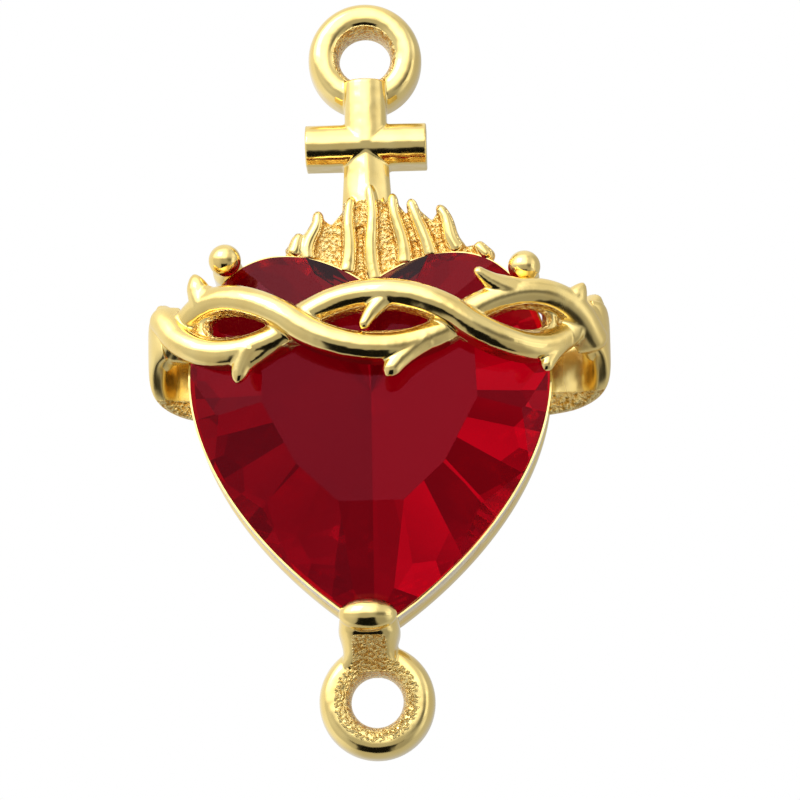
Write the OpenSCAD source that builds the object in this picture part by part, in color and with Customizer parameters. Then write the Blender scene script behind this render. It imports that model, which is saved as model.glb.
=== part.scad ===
// Sacred heart pendant link: a faceted heart stone in a cast open basket, with a cross, a fan of
// flames and an eye above, an eye below, and a twisted thorn vine laid across the stone.
// Millimetres. +Z runs up the pendant, the front faces -Y, and the origin is the centre of the
// top eye's hole. Outlines are drawn as [x, z] points, seen from the front.

/* [Heart stone] */
// Width of the stone across both lobes
stone_w = 9.7; // [8:0.1:12]
// Height of the stone from the lobes' tops to its point
stone_h = 10.2; // [8.5:0.1:12]
// Distance of each lobe's top from the middle line
lobe_x = 2.4; // [2.1:0.05:2.6]
// Radius of the flat arc that runs from the cleft to a lobe's top
lobe_top_r = 3.77; // [3.3:0.01:4.5]
// How far below the lobes' tops the stone is widest
widest_drop = 3.35; // [2.8:0.05:3.8]
// Height of the crown, from the girdle to the table
crown_h = 0.9; // [0.6:0.05:1.2]
// Thickness of the girdle
girdle_t = 0.12; // [0.08:0.01:0.2]
// Depth of the pavilion, from the girdle to the culet
pavilion_h = 2.1; // [1.6:0.05:2.6]
// Table size as a share of the stone's outline
table_share = 0.59; // [0.5:0.01:0.68]
// The same share towards the stone's point, where the crown is broader
table_share_tip = 0.43; // [0.35:0.01:0.55]

/* [Basket] */
// How far the girdle's front edge lies in front of the eyes' mid-plane
girdle_front = 1.3; // [0.9:0.05:1.6]
// How far the wall stands outside the stone
wall_out = 0.06; // [0.04:0.01:0.12]
// Width of the bevelled ledge that carries the stone
ledge_w = 0.35; // [0.25:0.01:0.5]
// How far the ledge's bevel falls from its rim to its inner edge
ledge_fall = 0.28; // [0.2:0.01:0.4]
// Front to back depth of the wall
wall_depth = 2.2; // [2:0.05:3]
// Depth of the shallow groove round the outside of the wall
groove_depth = 0.05; // [0.03:0.01:0.08]
// Height of the rails in front of the groove and behind it
rail_h = 0.55; // [0.4:0.05:0.8]
// Clearance between the stone and its ledge
seat_gap = 0.02; // [0.01:0.01:0.05]

/* [Eyes] */
// Radius of the hole through each eye
eye_hole_r = 0.7; // [0.5:0.05:0.9]
// Outer radius of each eye
eye_outer_r = 1.56; // [1.4:0.02:1.8]
// Thickness of each eye, front to back
eye_t = 1.5; // [1.2:0.05:1.8]
// Radius of the rounding on each eye's edges
eye_edge_r = 0.33; // [0.2:0.01:0.4]
// Distance from the top eye's centre down to the lobes' tops
eye_drop = 5.76; // [5.4:0.02:6.4]
// Distance from the stone's point down to the bottom eye's centre
foot_drop = 1.84; // [1.75:0.01:2.4]

/* [Cross] */
// Width of the upright above the arms
bar_w = 1.15; // [0.9:0.05:1.4]
// Width of the upright below the arms
bar_foot_w = 1.33; // [1.1:0.01:1.6]
// Length of both arms together
arm_span = 3.32; // [2.8:0.05:4]
// Height of the arms
arm_h = 1.15; // [1:0.05:1.5]
// Distance from the top eye's centre down to the arms' centre line
arm_drop = 2.52; // [2.3:0.01:2.8]
// How far the cross stands in front of the eyes' mid-plane
cross_front = 1.1; // [0.9:0.05:1.3]
// How far the cross reaches behind the eyes' mid-plane
cross_back = 0.2; // [0.1:0.05:0.6]
// Rim of metal between the hole and the top of the upright
bar_rim = 0.05; // [0.03:0.01:0.15]
// How far the upright runs down into the flames
bar_root = 1.15; // [0.8:0.05:1.5]

/* [Flames] */
// Thickness of the web behind the flames
web_t = 1.1; // [0.7:0.05:1.3]
// How far the web's front lies in front of the eyes' mid-plane
web_front = 0.85; // [0.6:0.05:1]
// How far the flames' ridges stand in front of the web
ridge_h = 0.5; // [0.3:0.05:0.7]
// Width of a flame at its root
flame_w = 0.5; // [0.35:0.01:0.6]
// Height of the longest flame above the lobes' tops
flame_rise = 2.08; // [1.8:0.02:2.3]

/* [Prongs] */
// Radius of the ball on each upper prong
ball_r = 0.44; // [0.38:0.02:0.55]
// Radius of each upper prong's stem
stem_r = 0.26; // [0.2:0.01:0.28]
// Distance of the upper prongs' centre lines outside the stone
prong_out = 0.34; // [0.3:0.01:0.36]
// Radius of each upper prong's root, where it merges into the wall
root_r = 0.42; // [0.38:0.01:0.46]
// Place of the left prong round the stone's shoulder, from the side (0) to the lobe's top (90)
left_prong_angle = 60; // [50:1:65]
// Place of the right prong round the other shoulder
right_prong_angle = 50; // [45:1:65]
// How far the balls' centres lie in front of the girdle's front edge
ball_front = 0.55; // [0.4:0.05:0.8]
// Width of the oval head of the prong at the stone's point
toe_w = 1.6; // [1.3:0.05:1.8]
// Height of that oval head
toe_h = 0.95; // [0.8:0.05:1.1]
// Width of the neck where it meets the bottom eye
neck_w = 1.3; // [1:0.05:1.4]
// How far the head and the neck sit to the right of the middle line
toe_x = -0.16; // [-0.2:0.01:0.2]

/* [Thorn vine] */
// Width of each strand
strand_w = 0.74; // [0.6:0.02:0.8]
// Depth of a strand behind its centre line
strand_back = 0.45; // [0.35:0.01:0.55]
// How far each strand swings above and below the band's middle
twist_rise = 0.74; // [0.6:0.02:0.9]
// How far each strand swings in front of the band's middle, and behind it
twist_out = 0.2; // [0.15:0.01:0.25]
// Distance from the middle line to the first crossing of the strands
crossing_x = 2.22; // [2.1:0.02:2.5]
// Clearance between the strands and the stone's table
vine_gap = 0.12; // [0.08:0.01:0.25]
// Distance of the band's middle below the lobes' tops
vine_drop = 2.2; // [2:0.05:2.4]
// How far outside the stone the band's middle runs at the sides
vine_side = 1.12; // [0.95:0.01:1.2]
// How far the band sweeps back from its front to its full width
vine_sweep = 2.9; // [2.7:0.05:3.1]
// How far the band climbs over that sweep
vine_climb = 0.4; // [0.2:0.05:0.9]
// How far the band droops again at its ends
vine_droop = 0.15; // [0:0.05:0.6]
// How far the band and its lugs sit to the right of the middle line
vine_shift = 0.25; // [-0.3:0.05:0.3]

/* [Side lugs] */
// How far the lugs' front faces, which carry the vine, lie in front of the eyes' mid-plane
lug_front = 1.2; // [1:0.05:1.3]
// How far the lugs reach down below the band's ends
lug_fall = 1.4; // [1.2:0.05:1.8]
// Thickness of the foot that joins a lug to the wall
lug_foot_t = 0.8; // [0.6:0.05:1]

/* [Hidden] */

gold = "goldenrod";
red = "firebrick";

// Depths along Y, front to back
girdle_y = -girdle_front;
table_y = girdle_y - crown_h;
pavilion_y = girdle_y + girdle_t;
culet_y = pavilion_y + pavilion_h;
rim_y = pavilion_y + seat_gap;
wall_back_y = rim_y + wall_depth;

// Heights along Z
lobe_top_z = -eye_drop;
widest_z = lobe_top_z - widest_drop;
point_z = lobe_top_z - stone_h;
foot_z = point_z - foot_drop;
half_w = stone_w / 2;
side_h = widest_z - point_z;

// The stone's side falls to its point as half_w * (1 - u ^ side_bow) ^ point_bow
side_bow = 1.9;
point_bow = 0.9;
side_steps = 12;
shoulder_steps = 9;
lobe_steps = 6;

// Points of the right half from the stone's point up its side, and over the lobe to the cleft
side_pts = [for (i = [0:side_steps - 1])
    let (u = pow(1 - i / side_steps, 1.15))
    [half_w * pow(1 - pow(u, side_bow), point_bow), widest_z - side_h * u]];
shoulder_pts = [for (i = [0:shoulder_steps - 1])
    let (a = 90 * i / shoulder_steps)
    [lobe_x + (half_w - lobe_x) * cos(a), widest_z + widest_drop * sin(a)]];
lobe_pts = [for (i = [0:lobe_steps - 1])
    let (x = lobe_x * (1 - i / lobe_steps))
    [x, lobe_z(x)]];
half_pts = concat(side_pts, shoulder_pts, lobe_pts);
half_n = len(half_pts);
outline_n = 2 * half_n;
heart_outline = concat(half_pts, [[0, lobe_z(0)]],
    [for (i = [half_n - 1:-1:1]) [-half_pts[i][0], half_pts[i][1]]]);

// Height of the lobe's flat top arc at x
function lobe_z(x) = lobe_top_z - lobe_top_r + sqrt(pow(lobe_top_r, 2) - pow(x - lobe_x, 2));
// Height of the stone's upper edge at x, lobe arc inside and shoulder outside
function upper_edge_z(x) = let (ax = abs(x))
    ax < lobe_x ? lobe_z(ax)
        : widest_z + widest_drop * sqrt(1 - pow((ax - lobe_x) / (half_w - lobe_x), 2));
// Half width of the stone at height z, above its widest place or below it
function stone_half_w(z) = z > widest_z
    ? lobe_x + (half_w - lobe_x) * sqrt(1 - pow(min(1, (z - widest_z) / widest_drop), 2))
    : half_w * pow(1 - pow((widest_z - z) / side_h, side_bow), point_bow);

function unit(v) = v / norm(v);
function mix(a, b, s) = a + (b - a) * s;
// Outward normal of a ring of [x, z] points that runs anticlockwise seen from the front
function edge_normal(a, b) = unit([b[1] - a[1], a[0] - b[0]]);
function corner_step(pts, i) = let (
        n = len(pts),
        n1 = edge_normal(pts[(i + n - 1) % n], pts[i]),
        n2 = edge_normal(pts[i], pts[(i + 1) % n]),
        m = unit(n1 + n2))
    m / max(0.5, m * n1);
// The outline moved outward by d, or inward where d is negative
function grown(pts, d) = [for (i = [0:len(pts) - 1]) pts[i] + d * corner_step(pts, i)];

// Faces that join `rows` rings of `cols` points; a loop joins its last ring to its first
function side_faces(rows, cols, loop = false) =
    [for (r = [0:rows - (loop ? 1 : 2)]) for (c = [0:cols - 1])
        let (r2 = (r + 1) % rows, c2 = (c + 1) % cols)
        for (half = [0, 1])
            half == 0 ? [r * cols + c, r2 * cols + c2, r * cols + c2]
                      : [r * cols + c, r2 * cols + c, r2 * cols + c2]];
function end_faces(rows, cols) = [
    [for (c = [0:cols - 1]) c],
    [for (c = [cols - 1:-1:0]) (rows - 1) * cols + c]];

// A closed skin over a list of rings with equal numbers of points
module skin(rings, loop = false) {
    cols = len(rings[0]);
    points = [for (ring = rings) for (p = ring) p];
    faces = side_faces(len(rings), cols, loop);
    caps = loop ? [] : end_faces(len(rings), cols);
    polyhedron(points, concat(faces, caps), convexity = 6);
}

// Extrudes an [x, z] outline from y0 back to y1
module along_y(y0, y1) {
    translate([0, y1, 0]) rotate([90, 0, 0]) linear_extrude(y1 - y0) children();
}

// A rounded bar's section: half an ellipse in front of y = 0 and a flat back behind it
function bar_section(w, front, back, steps = 10) = concat(
    [for (i = [0:steps]) [w / 2 * cos(180 * i / steps), -front * sin(180 * i / steps)]],
    [[-w / 2, back], [w / 2, back]]);

module eye(z) {
    arc_n = 5;
    half_t = eye_t / 2;
    corners = [[eye_outer_r - eye_edge_r, half_t - eye_edge_r, 0],
        [eye_hole_r + eye_edge_r, half_t - eye_edge_r, 90],
        [eye_hole_r + eye_edge_r, eye_edge_r - half_t, 180],
        [eye_outer_r - eye_edge_r, eye_edge_r - half_t, 270]];
    section = [for (c = corners) for (i = [0:arc_n])
        let (a = c[2] + 90 * i / arc_n)
        [c[0] + eye_edge_r * cos(a), c[1] + eye_edge_r * sin(a)]];
    translate([0, 0, z]) rotate([90, 0, 0]) rotate_extrude($fn = 64) polygon(section);
}

// Depth of the rounding on the cross's front, as a share of the upright's width
bar_round = 0.42;

module cross() {
    round_front = bar_w * bar_round;
    flat_y = round_front - cross_front;
    back = cross_back - flat_y;
    top_z = -(eye_hole_r + bar_rim);
    foot_top_z = -arm_drop;
    root_z = -(arm_drop + arm_h / 2 + bar_root);
    translate([0, flat_y, foot_top_z]) linear_extrude(top_z - foot_top_z)
        polygon(bar_section(bar_w, round_front, back));
    translate([0, flat_y, root_z]) linear_extrude(foot_top_z - root_z)
        polygon(bar_section(bar_foot_w, round_front, back));
    translate([-arm_span / 2, flat_y, -arm_drop]) rotate([90, 0, 90]) linear_extrude(arm_span)
        polygon([for (p = bar_section(arm_h, round_front, back)) [p[1], p[0]]]);
}

// Flames from left to right: root x, tip x, tip height as a share of flame_rise, and S-bend
FLAMES = [
    [-2.1, -1.77, 0.33, 0.03],
    [-1.62, -1.36, 0.64, -0.08],
    [-0.57, -0.42, 0.82, 0.04],
    [0.19, 0.05, 1, -0.06],
    [1, 0.71, 0.86, 0.05],
    [1.7, 1.18, 0.78, 0.02],
    [2.5, 1.92, 0.68, -0.06],
    [3.35, 2.95, 0.16, 0]];
flame_rings = 6;
flame_tip_w = 0.22;
// Height of a flame's ridge at its tip, as a share of the height at its root
flame_tip_h = 0.6;
// How far a flame's foot sinks into the web
flame_sink = 0.15;
// Clearance between the flames or their web and the stone's outline
web_edge = 0.05;
// How far the web runs out past the first flame and past the last one
web_ends = [0.2, 0.1];
// Top of the web at a flame and between two flames: share of the rise, and share of the lean
web_peak = [0.92, 0.92];
web_valley = [0.7, 0.6];

// One flame: a ridge that narrows and bends from its root at the stone's edge to its tip
module flame(f) {
    side_x = flame_w / 2;
    edge_z = max(upper_edge_z(f[0] - side_x), upper_edge_z(f[0] + side_x));
    root = [f[0], edge_z + web_edge];
    tip = [f[1], lobe_top_z + f[2] * flame_rise];
    foot_y = flame_sink - web_front;
    skin([for (i = [0:flame_rings])
        let (s = i / flame_rings,
            w = mix(flame_w, flame_tip_w, s * s),
            h = flame_sink + mix(ridge_h, ridge_h * flame_tip_h, s),
            x = mix(root[0], tip[0], s) + f[3] * sin(360 * s),
            z = mix(root[1], tip[1], s))
        [for (a = [180:-36:0]) [x + w / 2 * cos(a), foot_y - h * sin(a), z]]]);
}

// The web behind the flames: up and down between their tips, and along the stone's edge below
module flame_web() {
    n = len(FLAMES);
    first_x = FLAMES[0][0] - web_ends[0];
    last_x = FLAMES[n - 1][0] + web_ends[1];
    edge_n = 14;
    top = [for (i = [0:n - 1]) for (valley = [0, 1])
        let (j = min(n - 1, i + valley),
            rise = flame_rise * min(FLAMES[i][2], FLAMES[j][2]),
            share = valley == 0 ? web_peak : web_valley,
            root_x = (FLAMES[i][0] + FLAMES[j][0]) / 2,
            tip_x = (FLAMES[i][1] + FLAMES[j][1]) / 2)
        if (valley == 0 || j > i)
            [mix(root_x, tip_x, share[1]), lobe_top_z + share[0] * rise]];
    edge = [for (i = [0:edge_n])
        let (x = mix(last_x, first_x, i / edge_n))
        [x, upper_edge_z(x) + web_edge]];
    along_y(-web_front, web_t - web_front) polygon(concat(top, edge));
}

// How far outside the stone's outline the ledge's bevel starts
ledge_edge = 0.01;

// Basket wall: one section of rim, bevelled ledge, inner face, back and grooved outer face,
// carried round the stone's outline
module basket_wall() {
    groove_y0 = rim_y + rail_h;
    groove_y1 = wall_back_y - rail_h;
    groove_out = wall_out - groove_depth;
    section = [[wall_out, rim_y], [wall_out, groove_y0], [groove_out, groove_y0 + groove_depth],
        [groove_out, groove_y1 - groove_depth], [wall_out, groove_y1], [wall_out, wall_back_y],
        [-ledge_w, wall_back_y], [-ledge_w, rim_y + ledge_fall], [ledge_edge, rim_y]];
    rings = [for (s = section) grown(heart_outline, s[0])];
    skin([for (i = [0:outline_n - 1])
        [for (k = [0:len(section) - 1]) [rings[k][i][0], section[k][1], rings[k][i][1]]]],
        loop = true);
}

// Centre line of an upper prong: a place on the stone's shoulder, moved outward
shoulder_size = [half_w - lobe_x, widest_drop];
function prong_at(a) = let (
        edge = [lobe_x + shoulder_size[0] * cos(a), widest_z + shoulder_size[1] * sin(a)],
        out = unit([cos(a) / shoulder_size[0], sin(a) / shoulder_size[1]]))
    edge + prong_out * out;
ball_y = girdle_y - ball_front;
// Where an upper prong's stem swells to its root: distance behind the wall's rim, and length
swell_drop = 0.12;
swell_h = 0.5;
// How far short of the wall's back the root ends
root_short = 0.2;

// Ball, stem, and a root that swells behind the stone and merges into the wall
module upper_prong(angle) {
    at = prong_at(angle);
    swell_y0 = rim_y + swell_drop;
    swell_y1 = swell_y0 + swell_h;
    root_end_y = wall_back_y - root_short;
    translate([at[0], 0, at[1]]) rotate([90, 0, 0]) {
        translate([0, 0, -ball_y]) sphere(ball_r, $fn = 32);
        translate([0, 0, -swell_y0]) cylinder(h = swell_y0 - ball_y, r = stem_r, $fn = 24);
        translate([0, 0, -swell_y1])
            cylinder(h = swell_y1 - swell_y0, r1 = root_r, r2 = stem_r, $fn = 24);
        translate([0, 0, -root_end_y])
            cylinder(h = root_end_y - swell_y1, r = root_r, $fn = 24);
    }
}

// The oval head's centre stands this far above the stone's point
toe_rise = 0.3;
// How far its centre stands in front of the balls' centres
toe_front = 0.07;
// Clearance of the stem and the neck below the stone's point
toe_gap = 0.02;
// Height of the stem behind the oval head, and how far it reaches behind the wall's rim
toe_stem_h = 0.72;
toe_stem_back = 0.6;
// How far the stem's front lies behind the middle of the oval head
toe_stem_in = 0.12;
// The neck is this much narrower than the head, and reaches this far up the bottom eye's side
neck_step = 0.1;
neck_reach = 0.75;
// The neck's front face stands in front of the girdle, and its back short of the eye's back
neck_front = 0.2;
neck_short = 0.15;

// Prong at the stone's point: an oval head in front, a stem behind it that runs back past the
// wall's rim, and a neck that runs down from the wall to the bottom eye
module toe_prong() {
    toe_r = toe_h / 2;
    toe_y = ball_y - toe_front;
    toe_z = point_z + toe_rise;
    stem_top_z = point_z - toe_gap;
    stem_front = rim_y - toe_y - toe_stem_in;
    neck_top_w = toe_w - neck_step;
    ring_z = foot_z + eye_outer_r * neck_reach;
    translate([toe_x, 0, 0]) {
        hull() for (side = [-1, 1])
            translate([side * (toe_w / 2 - toe_r), toe_y, toe_z]) sphere(toe_r, $fn = 24);
        translate([0, 0, stem_top_z - toe_stem_h]) linear_extrude(toe_stem_h)
            translate([0, rim_y])
                polygon(bar_section(neck_top_w, stem_front, toe_stem_back));
        along_y(girdle_y - neck_front, eye_t / 2 - neck_short)
            polygon([[-neck_top_w / 2, stem_top_z], [-neck_w / 2, ring_z],
                [neck_w / 2, ring_z], [neck_top_w / 2, stem_top_z]]);
    }
}

// The band of the thorn vine, by its angle t from the middle: 0 in front, 90 at the sides
band_x = half_w + vine_side;
crossing_t = asin(crossing_x / band_x);
band_y = table_y - vine_gap - strand_back - twist_out - vine_sweep * (1 - cos(crossing_t));
band_z = lobe_top_z - vine_drop;
lug_y = -lug_front;
lug_t = acos(1 - (lug_y - band_y) / vine_sweep);
function band(t) = [vine_shift + band_x * sin(t), band_y + vine_sweep * (1 - cos(t)),
    band_z + vine_climb * (1 - cos(t)) - vine_droop * pow(t / lug_t, 4)];
function band_out(t) = unit([sin(t) / band_x, -cos(t) / vine_sweep, 0]);
// Strand `side` is -1 or 1; the two swing opposite ways and cross at each odd quarter turn
function strand(side, t) = let (turn = 90 * t / crossing_t)
    band(t) + band_out(t) * twist_out * side * sin(turn)
        + [0, 0, twist_rise * side * fuller(cos(turn), wave_power)];
function strand_along(side, t) = unit(strand(side, t + 0.5) - strand(side, t - 0.5));
// Pushes a sine or cosine outward, so that a wave or a circle becomes fuller
function fuller(v, power) = sign(v) * pow(abs(v), power);
wave_power = 0.8;

// Ring of a strand: a round front and a flat back with small corners
function strand_ring(side, t) = let (
        centre = strand(side, t),
        along = strand_along(side, t),
        up = unit(cross(along, band_out(t))),
        out = cross(up, along),
        r = strand_w / 2,
        back = strand_back * (1 - back_thinning * pow(t / lug_t, 2)),
        shape = concat([for (a = [-90:30:90]) [r * sin(a), r * cos(a)]],
            [[r, -back * 0.75], [r * 0.75, -back], [-r * 0.75, -back], [-r, -back * 0.75]]))
    [for (p = shape) centre + p[0] * up + p[1] * out];

strand_rings = 52;
strand_over = 8;
// The strands' backs thin towards the ends, where the band passes close beside the stone
back_thinning = 0.55;

module vine_strand(side) {
    end_t = lug_t + strand_over;
    skin([for (i = [0:strand_rings]) strand_ring(side, mix(-end_t, end_t, i / strand_rings))]);
}

// Past their last crossing the strands spread into one solid band: its ring at angle t
end_rings = 6;
end_start_t = 3 * crossing_t - 8;
// Its depth as a share of the strands', so that it lies between them
end_share = 0.85;
function end_ring(t) = let (
        centre = band(t),
        out = band_out(t),
        half_h = abs(strand(1, t)[2] - centre[2]) + end_share * strand_w / 2,
        front = end_share * strand_w / 2 * min(1, (t - end_start_t) / (lug_t - end_start_t)),
        back = end_share * strand_back * (1 - back_thinning * pow(t / lug_t, 2)),
        shape = concat([for (a = [-90:30:90]) [half_h * sin(a), front * cos(a)]],
            [[half_h * 0.75, -back], [-half_h * 0.75, -back]]))
    [for (p = shape) centre - [0, 0, p[0]] + p[1] * out];

module band_end() {
    end_t = lug_t + strand_over;
    skin([for (i = [0:end_rings]) end_ring(mix(end_start_t, end_t, i / end_rings))]);
}

// Thorns: strand, band angle, and in strand widths: lean along the band, rise (down where
// negative), root radius and tip radius; last, how many degrees the root runs on along the strand
THORNS = [
    [-1, -52, -0.2, 0.82, 0.46, 0.32, 6],
    [1, -35, -0.4, -1.04, 0.48, 0.22, 11],
    [1, 4, -1, -1.2, 0.36, 0.16, 0],
    [-1, 13, -1.3, -1.2, 0.46, 0.28, 11],
    [-1, 39, -1.5, 0.7, 0.42, 0.14, 6],
    [1, 61, -1.2, -1.35, 0.46, 0.2, 9],
    [-1, 58, 0.25, 0.4, 0.42, 0.36, 5]];

// How far a thorn's tip stands out and how far its knee leans on; size of the knee between the two
thorn_out = 0.12;
thorn_knee = 0.12;
knee_share = 0.45;
// Radius of the far end of a thorn's root, as a share of its root radius
root_taper = 0.85;

module thorn(t) {
    out = band_out(t[1]);
    lean = t[2] * strand_w;
    rise = t[3] * strand_w;
    root_end_r = t[4] * strand_w;
    tip_r = t[5] * strand_w;
    knee_r = mix(root_end_r, tip_r, knee_share);
    along = [-out[1], out[0], 0];
    root = strand(t[0], t[1]);
    tip = root + lean * along + [0, 0, rise] + thorn_out * out;
    knee = (root + tip) / 2 + thorn_knee * lean * along;
    hull() {
        translate(root) sphere(root_end_r, $fn = 16);
        translate(strand(t[0], t[1] + t[6])) sphere(root_taper * root_end_r, $fn = 12);
        translate(knee) sphere(knee_r, $fn = 16);
    }
    hull() {
        translate(knee) sphere(knee_r, $fn = 16);
        translate(tip) sphere(tip_r, $fn = 12);
    }
}

// Side lug, drawn on the right: the band's end turned back and down to the wall, with a foot
// that joins it there. `shift` is the band's own shift towards that side.
lug_rings = 6;
lug_pts = 12;
lug_back_y = wall_back_y - rail_h;
lug_lead = band_x * sin(lug_t);
lug_lead_z = band(lug_t)[2];
band_half_h = 0.6;
corner_power = 0.5;
// A lug's inner and outer edges from the band's middle, at its front face and at its back
lug_inner = [-0.5, -0.42];
lug_outer = [0.6, 0.45];
// How far a lug's top falls towards its back
lug_top_fall = 0.75;
// The foot: its outer edge from the band's middle, its top below the band's, and its corner
foot_out = 0.15;
foot_top_drop = 0.3;
foot_corner = 0.3;
// How far above the lug's lower end the foot ends, and how far short of its back
foot_rise = 0.04;
foot_in = 0.02;

function lug_ring(s, shift) = let (
        bend = sin(90 * s),
        x0 = shift + lug_lead + mix(lug_inner[0], lug_inner[1], bend),
        x1 = shift + lug_lead + mix(lug_outer[0], lug_outer[1], s * s),
        z1 = lug_lead_z + band_half_h - lug_top_fall * s * s,
        z0 = lug_lead_z - band_half_h - lug_fall * bend)
    [for (i = [0:lug_pts - 1])
        let (a = 360 * i / lug_pts)
        [(x0 + x1) / 2 + (x1 - x0) / 2 * fuller(cos(a), corner_power), mix(lug_y, lug_back_y, s),
            (z0 + z1) / 2 + (z1 - z0) / 2 * fuller(sin(a), corner_power)]];

module lug(shift) {
    top_z = lug_lead_z - foot_top_drop;
    low_z = lug_lead_z - band_half_h - lug_fall + foot_rise;
    foot_x = shift + lug_lead + foot_out;
    foot_back_y = lug_back_y - foot_in;
    foot_n = 8;
    wall_side = [for (i = [0:foot_n])
        let (z = mix(low_z, top_z, i / foot_n))
        [stone_half_w(z) + wall_out / 2, z]];
    skin([for (i = [lug_rings:-1:0]) lug_ring(i / lug_rings, shift)]);
    corner = [[foot_x, top_z], [foot_x, low_z + foot_corner], [foot_x - foot_corner, low_z]];
    along_y(foot_back_y - lug_foot_t, foot_back_y) polygon(concat(corner, wall_side));
}

module setting() {
    color(gold) {
        eye(0);
        eye(foot_z);
        cross();
        flame_web();
        for (f = FLAMES) flame(f);
        basket_wall();
        upper_prong(right_prong_angle);
        mirror([1, 0, 0]) upper_prong(left_prong_angle);
        lug(vine_shift);
        mirror([1, 0, 0]) lug(-vine_shift);
        toe_prong();
    }
}

module thorn_vine() {
    cut = 4 * stone_w;
    color(gold) difference() {
        union() {
            vine_strand(-1);
            vine_strand(1);
            band_end();
            translate([2 * vine_shift, 0, 0]) mirror([1, 0, 0]) band_end();
            for (t = THORNS) thorn(t);
        }
        translate([-cut / 2, lug_y, band_z - cut / 2]) cube(cut);
    }
}

// The stone: a brilliant-cut heart with one main facet for each `step` outline points
step = 6;
mains = outline_n / step;
facet_centre = [0, mix(widest_z, point_z, 0.12)];
// Where a crown kite's middle corner lies: share of the crown's fall, share of the way to the rim
kite_fall = 0.43;
kite_reach = 0.5;
pavilion_break = [ledge_w, ledge_fall];

function toward_centre(p, share) = facet_centre + (p - facet_centre) * share;
function table_pt(m) = toward_centre(heart_outline[(m * step) % outline_n],
    m % mains == 0 ? table_share_tip : table_share);

module heart_stone() {
    n = outline_n;
    lower = grown(heart_outline, -pavilion_break[0]);
    table = [for (m = [0:mains - 1]) table_pt(m)];
    kite = [for (m = [0:mains - 1])
        let (rim = heart_outline[m * step + step / 2],
            edge = (table_pt(m) + table_pt(m + 1)) / 2)
        mix(edge, rim, kite_reach)];
    kite_y = mix(table_y, girdle_y, kite_fall);
    points = concat(
        [for (p = heart_outline) [p[0], girdle_y, p[1]]],
        [for (p = heart_outline) [p[0], pavilion_y, p[1]]],
        [for (p = lower) [p[0], pavilion_y + pavilion_break[1], p[1]]],
        [for (p = kite) [p[0], kite_y, p[1]]],
        [for (p = table) [p[0], table_y, p[1]]],
        [[facet_centre[0], culet_y, facet_centre[1]]]);
    kite_0 = 3 * n;
    table_0 = kite_0 + mains;
    culet = table_0 + mains;
    crown = [for (m = [0:mains - 1])
        let (m2 = (m + 1) % mains, before = (m + mains - 1) % mains)
        for (face = concat(
            [for (k = [0:step - 1])
                [kite_0 + m, (m * step + k + 1) % n, m * step + k]],
            [[table_0 + m, kite_0 + m, m * step], [table_0 + m, m * step, kite_0 + before],
            [table_0 + m, table_0 + m2, kite_0 + m]]))
        face];
    girdle = [for (f = side_faces(3, n)) [f[0], f[2], f[1]]];
    pavilion = [for (i = [0:n - 1]) [2 * n + i, 2 * n + (i + 1) % n, culet]];
    top = [[for (m = [0:mains - 1]) table_0 + mains - 1 - m]];
    color(red) polyhedron(points, concat(crown, girdle, pavilion, top), convexity = 4);
}

setting();
thorn_vine();
heart_stone();
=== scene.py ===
# %% [markdown]
# # A sacred heart pendant link in gold and red glass
# The pendant is three things: a cast and gold-plated setting, a twisted thorn vine soldered
# across its front, and a faceted red stone between them. The CAD model fixes where each one is.
# This lesson dresses that model: it builds finer shapes in the same places, then finishes and
# lights them. Shapes are worked out in millimetres and made metres at the end.

# %% Load the frame
import math

import bmesh
import bpy
import numpy as np
from mathutils import Matrix, Vector


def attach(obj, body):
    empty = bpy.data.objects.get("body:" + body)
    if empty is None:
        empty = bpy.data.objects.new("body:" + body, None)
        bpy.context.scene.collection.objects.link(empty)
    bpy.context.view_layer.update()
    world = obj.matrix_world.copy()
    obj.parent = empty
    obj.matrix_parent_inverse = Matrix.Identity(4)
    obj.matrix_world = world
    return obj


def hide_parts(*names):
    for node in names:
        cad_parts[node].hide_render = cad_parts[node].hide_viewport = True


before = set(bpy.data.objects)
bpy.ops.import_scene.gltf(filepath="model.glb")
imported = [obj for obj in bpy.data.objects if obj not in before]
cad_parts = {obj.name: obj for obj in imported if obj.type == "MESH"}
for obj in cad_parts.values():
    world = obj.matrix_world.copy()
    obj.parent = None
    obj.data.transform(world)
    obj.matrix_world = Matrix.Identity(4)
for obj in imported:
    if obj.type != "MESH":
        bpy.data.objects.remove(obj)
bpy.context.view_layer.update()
MM = 0.001
print("CAD nodes:", sorted(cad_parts))

# %% [markdown]
# ## Where the camera stands
# A small object shot from far away looks almost flat, so the lens is long. The camera stands a
# little below the middle and is rolled by about a degree, as the hand-held original was. The
# three axes found here are used again for the lighting, because what polished gold shows is
# what stands around the camera.

# %% The camera's axes
AZIMUTH, ELEVATION, ROLL = math.radians(1.3), math.radians(-11), math.radians(1.2)
LENS = 200
VIEW_MM = 22.1
VIEW_CENTRE = (0.967, -9.337)

back = np.array([math.sin(AZIMUTH) * math.cos(ELEVATION),
                 -math.cos(AZIMUTH) * math.cos(ELEVATION), math.sin(ELEVATION)])
level = np.array([math.cos(AZIMUTH), math.sin(AZIMUTH), 0.0])
upright = np.cross(back, level)
right = math.cos(ROLL) * level - math.sin(ROLL) * upright
up = math.sin(ROLL) * level + math.cos(ROLL) * upright

camera_data = bpy.data.cameras.new("camera")
camera_data.lens = LENS
camera_data.clip_start = 0.001
camera = bpy.data.objects.new("camera", camera_data)
bpy.context.scene.collection.objects.link(camera)
distance = VIEW_MM * LENS / camera_data.sensor_width
spot = VIEW_CENTRE[0] * right + VIEW_CENTRE[1] * up + distance * back
camera.matrix_world = Matrix([[right[i], up[i], back[i], spot[i] * MM] for i in range(3)]
                             + [[0, 0, 0, 1]])
bpy.context.scene.camera = camera
print("camera at", spot.round(1), "mm")

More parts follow.
